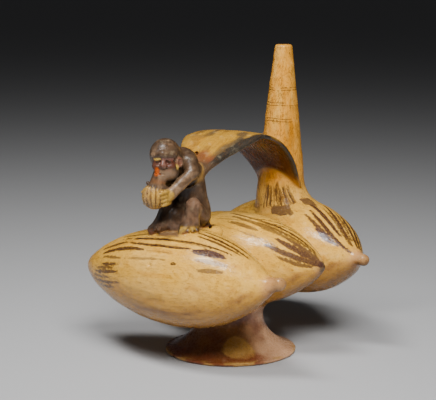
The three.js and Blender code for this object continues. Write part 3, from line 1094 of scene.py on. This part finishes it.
def paint_foot(points, colours, share):
    flat, height = points[:, :2], points[:, 2]
    toward, right = flat @ TOWARDS, flat @ RIGHTWARDS
    broad = lattice_noise(points, 9, 31)
    disc = np.hypot((right - 5.2) / 10.5, (toward - 30.8) / 7) + 0.05 * broad
    rim = soft(length_of(flat), FOOT_RADIUS - 3.5, FOOT_RADIUS - 1)
    slip = coated(
        np.array(FOOT_RED),
        (SHADE_AND_MOTTLE_BROWN, soft(broad, -0.2, 0.6) * 0.5),
        # Painted light: the foot's flare on the viewer's right, and the right of its neck, are lighter tan
        # as if lit
        (FOOT_LIT_TAN, soft(right + 8 * broad, 10, 24) * 0.85),
        (FOOT_LIT_TAN, soft(height + 5 * broad, 30, 44) * soft(right, -8, 8) * 0.6),
        (FOOT_BUFF, soft(disc, 1.04, 0.94)),
        (SMUDGE_RED, soft(height + 2 * broad, 7, 3) * soft(right, 30, 15) * 0.7),
        (FOOT_BUFF, soft(lattice_noise(points, 5, 32), 0.05, 0.35) * rim * 0.9),
        (INSIDE_BROWN, soft(height, 0.6, 0.1)),
    )
    return laid_over(colours, slip, share)


def spout_coordinates(points):
    """Height, degrees round the spout from the front towards the right, and distance from its axis"""
    lean = math.tan(math.radians(SPOUT_LEAN))
    x = points[:, 0] - SPOUT_X - lean * (points[:, 2] - REAR.middle[2])
    flat = np.column_stack([x, points[:, 1] - SPOUT_Y])
    return points[:, 2], np.degrees(np.arctan2(flat @ RIGHTWARDS, flat @ TOWARDS)), length_of(flat)


def paint_spout(points, colours, share, brush):
    height, angle, radius = spout_coordinates(points)
    streak = lattice_noise(points * (1, 1, 0.16), 2.6, 41)
    broad = lattice_noise(points, 13, 42)
    skin = coated(
        np.array(SPOUT_BUFF),
        (SPOUT_ORANGE, soft(broad + streak * 0.7, -0.1, 0.8) * 0.8),
        (PALE_BUFF, soft(streak - broad * 0.4, 0.3, 0.9) * 0.5),
        (ORANGE_BUFF, soft(np.abs(angle), 50, 110) * 0.5),
        (PALE_BUFF, soft(height, 112, 100) * 0.6),
        (SHADE_AND_MOTTLE_BROWN, soft(np.abs(streak), 0.55, 0.9) * 0.3),
    )
    own = share > 0.5
    draw = np.random.default_rng(43)
    for index, centre in enumerate(np.arange(-48, 22, 5.6)):
        top, bottom = 105 + draw.uniform(-3, 3), 93 + draw.uniform(-3, 2)
        stroke = (bottom, top, centre + 9 + draw.uniform(-2, 2), centre * 0.8 + draw.uniform(-2, 2), 0, 1.4)
        brush.lay(own, stroke_distance(height, angle, radius, stroke), 0.65 + 0.3 * (index % 2), 0.2)
    root = (radius < 36) & (height > 78) & (points[:, 1] > REAR.middle[1] - 34)
    ragged = 2.6 * lattice_noise(points, 2.6, 44) + 1.5 * broad
    for level, turn, half in ((89.5, -1, 6.6), (95, 43, 3.4)):
        aside = np.radians(angle - turn) * radius
        brush.lay(root, np.hypot(aside, 2.2 * (height - level)) - half + ragged, 0.85, 1.0)
    return laid_over(colours, skin, share)


def paint_strap(points, colours, share):
    station, across, off, _ = STRAP.coordinates(points)
    along = station / (len(STRAP.path) - 1)
    height = points[:, 2]
    streak = lattice_noise(np.column_stack([points[:, 0], station * 0.28, off]), 2.6, 51)
    broad = lattice_noise(points, 9, 52)
    right_part = soft(across + 0.2 * broad + 0.15 * streak, 0.5, 0.8) * soft(along, 0.55, 0.4)
    by_monkey = soft(along, 0.45, 0.35)
    top = coated(
        np.array(STRAP_YELLOW),
        (ORANGE_BUFF, soft(streak, 0.0, 0.8) * 0.6),
        (TIP_GREY, soft(streak - broad * 0.5, 0.1, 0.6) * (0.4 + 0.45 * soft(along, 0.28, 0.42))),
        (TIP_GREY, right_part * 0.8),
        (SMUDGE_RED, soft(height + 2 * broad, 136, 132) * by_monkey * 0.8),
    )
    # Painted shade: the band's underside is dark brown, with orange streaks and more orange by the spout
    under = coated(
        np.array(STRAP_UNDER_SHADE),
        (ORANGE_BUFF, soft(streak + broad, 0.3, 1.2) * 0.25),
        (ORANGE_BUFF, soft(along, 0.9, 0.99) * 0.5),
    )
    edge = soft(np.abs(across) + 0.08 * streak - 0.14 * soft(along, 0.4, 0.55), 0.72, 0.82)
    skin = coated(
        laid_over(top, under, soft(off, 0.7, -0.7)),
        (STRAP_EDGE, edge * soft(along, 1.0, 0.93) * (0.65 + 0.35 * np.sign(across))),
        (MONKEY_BROWN, soft(along + 0.03 * broad, 0.2, 0.11)),
        (MONKEY_BROWN, soft(height + broad, 131, 127) * by_monkey),
    )
    return laid_over(colours, skin, share)


class FigurePaint:
    """Places in the monkey's hundredths, with the noise that its paint uses"""

    def __init__(self, points):
        self.places = (points - SEAT) / HUNDREDTH
        self.x, self.y, self.z = self.places.T
        self.broad = lattice_noise(points, 6, 61)
        self.fine = lattice_noise(points, 1.8, 62)

    def near(self, start, end, radius, fade=2.0):
        """One within the radius of the line from start to end, nought outside it"""
        return soft(bone_distance(self.places, start, end, radius, radius), fade, -fade)

    def fur(self):
        x, y, z, broad, fine = self.x, self.y, self.z, self.broad, self.fine
        leg = self.near(*LEG_NEAR[1:3], 10) + self.near(*LEG_NEAR[:2], 9) * 0.4
        shaded_lap = soft(y, -34, -26) * soft(y, 10, 2) * soft(z, 66, 58) * soft(np.abs(x + 3), 15, 11)
        return coated(
            np.array(MONKEY_BROWN),
            (MONKEY_WEAR_AND_HIGHLIGHT, soft(broad + 0.6 * fine, 0.3, 0.9) * 0.4),
            (MONKEY_LEG, leg * 0.8),
            (MONKEY_WEAR_AND_HIGHLIGHT, self.near((21.5, -8.5, 62.5), (14, -34, 42.5), 7.4) * 0.8),
            # Lighter patches on top of the head: wear and a painted highlight
            (MONKEY_WEAR_AND_HIGHLIGHT, soft(z, 92, 98) * soft(broad + fine, 0.1, 0.6) * 0.6),
            # Painted shade: the lap and chest between legs and arms go near black, over their own dark paint
            (LAP_BLACK, shaded_lap * 0.8),
            (MONKEY_LEG, shaded_lap * soft(z + 5 * broad, 10, 4) * 0.7),
            (HAND_YELLOW, self.near((24, 1, 15), (23, 0, 2), 1.6, 1) * soft(fine, -0.6, 0.1) * 0.8),
            (LAP_BLACK, soft(fine + 0.5 * broad, -0.05, -0.5) * 0.5),
        )

    def face(self, skin):
        x, y, z = self.x - HEAD_MIDDLE[0], self.y - HEAD_MIDDLE[1], self.z
        sideways = x * math.cos(HEAD_TURN) + y * math.sin(HEAD_TURN)
        forward = x * math.sin(HEAD_TURN) - y * math.cos(HEAD_TURN)
        front = soft(forward, 9, 12) * soft(z, 58, 62) * soft(z, 82.5, 80) * soft(np.abs(sideways), 14, 11)
        return coated(
            skin,
            (FACE_RED, front * soft(z, 68, 73) * 0.8),
            # Pink paint on the nose ridge, made lighter as a painted highlight
            (NOSE_PINK, self.near(on_face(0.5, 17, 79), on_face(0.8, 20, 73.5), 2.4, 1) * 0.7),
            (NOSE_PINK, self.near((9, -42, 67.8), (17, -38, 67.4), 1.3, 1) * 0.6),
            (MONKEY_WEAR_AND_HIGHLIGHT, self.near((9, -40, 62), (15, -36, 63), 6, 3) * 0.6),
            (LAP_BLACK, self.near(on_face(-3, 19, 70.2), on_face(5, 18, 70.2), 0.9, 0.7) * 0.8),
            (LIP_ORANGE, self.near((4.2, -45, 67.4), (5, -45, 64), 3.3, 1.2) * 0.95),
        )

    def side(self, skin, side, lid_colour, lid_strength):
        """The eye, ear and hand of one side"""
        lid = self.near(on_face(side * 3.6, 16.4, 80), on_face(side * 9.6, 13.4, 79.8), 1.4, 0.6)
        eye = self.near(on_face(side * 5.4, 16.4, 77), on_face(side * 7, 16.2, 76.8), 1.5, 0.6)
        hand = self.near((side * 13.6, -40, 38), (side * 13.2, -48, 38), 9.6, 1)
        return coated(
            skin,
            (lid_colour, lid * lid_strength),
            (LAP_BLACK, eye * 0.9),
            (EAR_PINK, self.near((side * 19, -26, 73.5), (side * 19, -26, 77.5), 3.6, 1.5) * 0.8),
            (LAP_BLACK, self.near((side * 19.6, -25.6, 74), (side * 19.6, -25.6, 77), 1.6, 1)),
            (HAND_YELLOW, hand * soft(self.y, -34.5, -37) * 0.9),
        )

    def cheek_toes_and_leaf(self, skin):
        x, y, z, fine = self.x, self.y, self.z, self.fine
        spread = np.hypot(x - LEG_NEAR[2][0], y - LEG_NEAR[2][1])
        toes = soft(z, 6.5, 4) * soft(spread, 6, 8) * soft(x, 8, 11) * soft(y, 8, 2)
        leaf = ball_distance(self.places, (-7.5, -9.5, 15), (3.4, 2.4, 8), np.eye(3))
        cheek = self.near((11.5, -36, 71.5), (16.5, -29, 70.5), 3.0, 1)
        return coated(
            skin,
            (LID_YELLOW, cheek * soft(fine, -0.7, 0) * 0.85),
            (HAND_YELLOW, toes * soft(fine, -0.5, 0.1) * 0.9),
            (LIP_ORANGE, soft(np.abs(leaf - 0.4), 1.1, 0.4) * 0.55),
        )

    def gourd(self, skin):
        ball_gap = ball_distance(self.places, (0, -44, 39.5), (13.6, 13.6, 13.4), np.eye(3))
        share = soft(ball_gap, 1.5, 0.6) * soft(np.abs(self.x), 13.4, 12.4)
        share = np.maximum(share, self.near((0.6, -44, 48), (3.6, -42, 55), 7.8, 1))
        turn = np.degrees(np.arctan2(self.y + 44, self.x))
        groove = np.abs((turn + RIB_TURN / 2) % RIB_TURN - RIB_TURN / 2)
        rind = coated(
            np.array(GOURD_BUFF),
            (GROOVE_BROWN, soft(groove + 3 * self.fine, 4.5, 1.5) * 0.85),
            # Lighter patches on the gourd: wear and a painted highlight
            (MONKEY_WEAR_AND_HIGHLIGHT, soft(self.broad, 0.0, 0.6) * 0.5),
            (SMUDGE_RED, soft(self.z, 50, 56) * 0.7),
        )
        return laid_over(skin, rind, share)

    def smear(self):
        """The monkey's slip, smeared round its seat on the fruit"""
        reach = np.hypot((self.x + 1) / 25, (self.y + 2) / 25) + 0.12 * self.fine + 0.08 * self.broad
        return soft(reach, 1.0, 0.9) * soft(self.z, -9, -6)


def paint_monkey(points, colours, share):
    paint = FigurePaint(points)
    skin = paint.face(paint.fur())
    skin = paint.side(skin, -1, LID_YELLOW, 1.0)
    skin = paint.side(skin, 1, NOSE_PINK, 0.6)
    skin = paint.gourd(paint.cheek_toes_and_leaf(skin))
    skin = coated(skin, (SMUDGE_RED, soft(paint.z + 3 * paint.fine, 0.5, -3) * 0.5))
    colours = laid_over(colours, skin, share)
    return coated(colours, (MONKEY_LEG, paint.smear() * (1 - share) * soft(paint.z, 3, 1) * 0.9))


ZONE_DEPTH = 1.5
ZONE_BLEND = 0.35


def zone_shares(points):
    """How much of each zone every point belongs to, soft over about a millimetre"""
    zones = [[fruit_form(FRONT, 0), nipple_form(FRONT)], [fruit_form(MIDDLE, 0)],
             [fruit_form(REAR, 0), nipple_form(REAR)], [foot_form()],
             [spout_form(), spout_skirt()], [STRAP.form()], monkey_forms()]
    gaps = np.column_stack([np.clip(field(points, forms), -ZONE_DEPTH, FAR) for forms in zones])
    nearest = gaps.min(axis=1, keepdims=True)
    weights = np.exp(-(gaps - nearest) / ZONE_BLEND)
    return (weights / weights.sum(axis=1, keepdims=True)).T


def store(mesh, name, values):
    kind = "FLOAT_COLOR" if values.ndim == 2 and values.shape[1] == 4 else "FLOAT_VECTOR"
    kind = kind if values.ndim == 2 else "FLOAT"
    field_name = {"FLOAT": "value", "FLOAT_VECTOR": "vector", "FLOAT_COLOR": "color"}[kind]
    attribute = mesh.attributes.new(name, kind, "POINT")
    attribute.data.foreach_set(field_name, values.astype(np.float32).ravel())


def painted(thing):
    """Works out the paint at every vertex and keeps it as attributes of the mesh"""
    mesh = thing.data
    points = np.empty(len(mesh.vertices) * 3)
    mesh.vertices.foreach_get("co", points)
    points = points.reshape(-1, 3) / MM - FOOT_AXIS
    shares = zone_shares(points)
    colours = np.tile(BUFF, (len(points), 1)).astype(float)
    brush = Brush(len(points))
    colours = paint_fruits(points, colours, shares[:3], brush)
    colours = paint_foot(points, colours, shares[3])
    colours = paint_spout(points, colours, shares[4], brush)
    colours = paint_strap(points, colours, shares[5])
    colours = paint_monkey(points, colours, shares[6])
    hollow = soft(field(points, outside_forms()), -1.4, -2.2)
    colours = coated(colours, (INSIDE_BROWN, hollow))
    brush.strength *= 1 - hollow
    # The burnishing runs along each fruit, up the spout and along the strap
    flow = points
    for fruit, share in zip(FRUITS, shares):
        flow = laid_over(flow, fruit.local(points) * (0.14, 1, 1), share)
    flow = laid_over(flow, points * (1, 1, 0.18), shares[4])
    station, _, off, _ = STRAP.coordinates(points)
    flow = laid_over(flow, np.column_stack([points[:, 0], station * 0.2, off]), shares[5])
    store(mesh, "paint", np.column_stack([colours, np.ones(len(points))]))
    store(mesh, "stroke_edge", brush.edge)
    store(mesh, "stroke_strength", brush.strength)
    store(mesh, "stroke_purple", brush.purple)
    store(mesh, "flow", flow)
    store(mesh, "spout_share", shares[4])
    store(mesh, "rough_share", np.clip(shares[6] + 0.6 * shares[3] + 0.5 * shares[5], 0, 1))


# The shader
class Graph:
    """Short names for making and joining shader nodes"""

    def __init__(self, material):
        material.use_nodes = True
        self.tree = material.node_tree
        self.shader = self.tree.nodes["Principled BSDF"]

    def put(self, socket, value):
        if isinstance(value, bpy.types.NodeSocket):
            self.tree.links.new(value, socket)
        else:
            socket.default_value = value

    def node(self, kind, inputs=(), **settings):
        node = self.tree.nodes.new(kind)
        for name, value in settings.items():
            setattr(node, name, value)
        for name, value in dict(inputs).items():
            self.put(node.inputs[name], value)
        return node

    def attribute(self, name, output="Fac"):
        return self.node("ShaderNodeAttribute", attribute_name=name).outputs[output]

    def math(self, operation, first, second=0.0, third=0.0):
        inputs = {0: first, 1: second, 2: third}
        return self.node("ShaderNodeMath", inputs, operation=operation).outputs[0]

    def times(self, first, second):
        return self.math("MULTIPLY", first, second)

    def add(self, first, second):
        return self.math("ADD", first, second)

    def off_from(self, first, second):
        """How far two values lie apart"""
        return self.math("ABSOLUTE", self.math("SUBTRACT", first, second))

    def step(self, value, low, high):
        node = self.node("ShaderNodeMapRange", {"Value": value, "From Min": low, "From Max": high},
                         interpolation_type="SMOOTHSTEP", clamp=True)
        return node.outputs["Result"]

    def noise(self, vector, scale, detail=3.0, rough=0.55):
        inputs = {"Vector": vector, "Scale": scale, "Detail": detail, "Roughness": rough}
        return self.node("ShaderNodeTexNoise", inputs).outputs["Fac"]

    def mix(self, share, first, second, blend="MIX"):
        node = self.node("ShaderNodeMix", data_type="RGBA", blend_type=blend)
        self.put(node.inputs[0], share)
        self.put(node.inputs[6], first)
        self.put(node.inputs[7], second)
        return node.outputs[2]


BRUSH_BROWN = (0.05, 0.022, 0.011, 1)
BRUSH_PURPLE = (0.042, 0.02, 0.02, 1)
CRACK_BROWN = (0.10, 0.045, 0.018, 1)
STREAK_TINT = (0.50, 0.42, 0.30, 1)
FINE_STREAK_TINT = (0.6, 0.48, 0.36, 1)
MOTTLE_TINT = (0.62, 0.50, 0.38, 1)
MOTTLE_GLOW = (0.85, 0.68, 0.42, 1)
GRIT_TINT = (0.32, 0.22, 0.15, 1)

# Heights in mm of the thin rings round the spout, and how far they wobble up and down in all
SPOUT_RINGS = (171.2, 169.6, 161.0, 159.4, 150.4, 148.6)
RING_WOBBLE = 2.4


def clay_material():
    material = bpy.data.materials.new("painted_clay")
    graph = Graph(material)
    place = graph.node("ShaderNodeTexCoord").outputs["Object"]
    flow = graph.attribute("flow", "Vector")
    streaks = graph.noise(flow, 0.55, 4)
    fine_streaks = graph.noise(flow, 1.7, 3, 0.6)
    grain = graph.noise(place, 900, 4, 0.6)
    mottle = graph.noise(place, 190, 4, 0.6)
    speckle = graph.noise(place, 950, 3, 0.6)

    # Slip: streaks along the burnishing, mottling, and dark specks of grit
    skin = graph.attribute("paint", "Color")
    layers = (
        (graph.step(streaks, 0.5, 0.72), 0.5, STREAK_TINT, "MULTIPLY"),
        (graph.step(fine_streaks, 0.52, 0.7), 0.5, FINE_STREAK_TINT, "MULTIPLY"),
        (graph.step(mottle, 0.52, 0.75), 0.35, MOTTLE_TINT, "MULTIPLY"),
        (graph.step(mottle, 0.44, 0.3), 0.07, MOTTLE_GLOW, "SCREEN"),
        (graph.step(speckle, 0.62, 0.72), 0.75, GRIT_TINT, "MULTIPLY"),
    )
    for pattern, strength, tint, blend in layers:
        skin = graph.mix(graph.times(pattern, strength), skin, tint, blend)

    # Brush strokes with ragged, dry edges
    ragged = graph.times(graph.math("SUBTRACT", graph.noise(flow, 1.1, 5, 0.7), 0.5), 2.4)
    edge = graph.add(graph.attribute("stroke_edge"), ragged)
    stroke = graph.times(graph.step(edge, 0.45, -0.25), graph.attribute("stroke_strength"))
    dry = graph.step(graph.noise(flow, 2.2, 3, 0.6), 0.3, 0.52)
    stroke = graph.times(stroke, graph.math("MULTIPLY_ADD", dry, 0.3, 0.7))
    ink = graph.mix(graph.attribute("stroke_purple"), BRUSH_BROWN, BRUSH_PURPLE)
    skin = graph.mix(stroke, skin, ink)

    # Hair cracks follow the burnishing, and thin rings run round the spout
    spout = graph.attribute("spout_share")
    near_level = graph.off_from(graph.noise(flow, 0.9, 3, 0.6), 0.5)
    cracks = graph.times(graph.step(near_level, 0.026, 0.006), graph.step(mottle, 0.4, 0.56))
    cracks = graph.times(cracks, graph.math("MULTIPLY_ADD", spout, 0.5, 0.45))
    skin = graph.mix(cracks, skin, CRACK_BROWN)
    height = graph.node("ShaderNodeSeparateXYZ", {"Vector": place}).outputs["Z"]
    height = graph.add(height, graph.times(graph.noise(place, 60, 2), RING_WOBBLE * MM))
    for ring in SPOUT_RINGS:
        gap = graph.off_from(height, (ring + RING_WOBBLE / 2) * MM)
        line = graph.times(graph.step(gap, 0.0004, 0.00015), graph.step(mottle, 0.42, 0.52))
        skin = graph.mix(graph.times(graph.times(line, spout), 0.8), skin, CRACK_BROWN)

    rich = graph.node("ShaderNodeHueSaturation", {"Saturation": 1.12, "Value": 1.05, "Color": skin})
    graph.put(graph.shader.inputs["Base Color"], rich.outputs["Color"])

    # The figure, foot and strap are rougher than the burnished fruits
    rough = graph.math("MULTIPLY_ADD", graph.attribute("rough_share"), 0.16, 0.12)
    rough = graph.add(rough, graph.times(graph.step(streaks, 0.45, 0.6), 0.16))
    graph.put(graph.shader.inputs["Roughness"], graph.add(rough, graph.times(grain, 0.08)))
    bump = graph.node("ShaderNodeBump", {"Strength": 0.35, "Distance": 0.0003, "Height": grain})
    inputs = {"Strength": 0.3, "Distance": 0.0006, "Height": streaks, "Normal": bump.outputs[0]}
    graph.put(graph.shader.inputs["Normal"], graph.node("ShaderNodeBump", inputs).outputs[0])
    return material


def make_vessel():
    vertices, quads, inner = vessel_mesh()
    vessel = thinned(new_mesh_object("vessel_painted", vertices, quads), quads, inner)
    painted(vessel)
    vessel.data.materials.append(clay_material())
    print("vessel", len(vertices), "vertices", len(quads), "quads", len(vessel.data.polygons), "faces kept")
    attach(vessel, "root")
    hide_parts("vessel")


# Camera, floor and light
CAMERA_PLACE = Vector((534.61, -691.32, 241.04)) * MM
CAMERA_RIGHT = Vector((0.7810934, 0.6244142, 0.0))
CAMERA_UP = Vector((-0.09968715, 0.12470083, 0.98717383))
CAMERA_LENS = 110.76
FLOOR_COLOUR = (0.4, 0.4, 0.404, 1)
FLOOR_ROUGHNESS = 0.8
FLOOR_HALF = 30.0
STUDIO_COLOUR = (0.5, 0.5, 0.52, 1)
STUDIO_STRENGTH = 0.06

# Each lamp's name, place and size in metres, and power in watts
LAMPS = (
    ("front", (0.56, -0.54, 0.76), (0.42, 0.34), 3.2),
    ("overhead", (0.02, -0.55, 1.03), (0.44, 0.22), 11),
    ("left", (-0.9, -0.6, 0.5), (0.6, 0.6), 0.5),
)
LAMP_TARGET = Vector((0, 0, 0.09))
FRONT_LAMP_SPREAD = math.radians(74)


def add_object(name, data, matrix=None):
    thing = bpy.data.objects.new(name, data)
    if matrix is not None:
        thing.matrix_world = matrix
    bpy.context.scene.collection.objects.link(thing)
    return thing


def make_camera():
    data = bpy.data.cameras.new("camera")
    data.sensor_width = 36
    data.lens = CAMERA_LENS
    data.clip_end = 100
    turn = Matrix((CAMERA_RIGHT, CAMERA_UP, CAMERA_RIGHT.cross(CAMERA_UP))).transposed()
    bpy.context.scene.camera = add_object("camera", data, Matrix.Translation(CAMERA_PLACE) @ turn.to_4x4())


def make_floor():
    mesh = bpy.data.meshes.new("floor")
    corners = [(x * FLOOR_HALF, y * FLOOR_HALF, 0) for x, y in ((-1, -1), (1, -1), (1, 1), (-1, 1))]
    mesh.from_pydata(corners, [], [(0, 1, 2, 3)])
    material = bpy.data.materials.new("pale_floor")
    material.use_nodes = True
    shader = material.node_tree.nodes["Principled BSDF"]
    shader.inputs["Base Color"].default_value = FLOOR_COLOUR
    shader.inputs["Roughness"].default_value = FLOOR_ROUGHNESS
    mesh.materials.append(material)
    add_object("floor", mesh)


def area_light(name, place, size, power):
    data = bpy.data.lights.new(name, "AREA")
    data.shape = "RECTANGLE"
    data.size, data.size_y = size
    data.energy = power
    place = Vector(place)
    turn = (place - LAMP_TARGET).to_track_quat("Z", "Y").to_matrix().to_4x4()
    return add_object(name, data, Matrix.Translation(place) @ turn)


def make_lights():
    """The front lamp shades the clay without a reflection, so the highlights are the other lamps' own"""
    lamps = {lamp[0]: area_light(*lamp) for lamp in LAMPS}
    lamps["front"].data.spread = FRONT_LAMP_SPREAD
    lamps["front"].visible_glossy = False
    world = bpy.data.worlds.new("studio")
    world.use_nodes = True
    background = world.node_tree.nodes["Background"]
    background.inputs["Color"].default_value = STUDIO_COLOUR
    background.inputs["Strength"].default_value = STUDIO_STRENGTH
    bpy.context.scene.world = world


make_camera()
make_vessel()
make_floor()
make_lights()
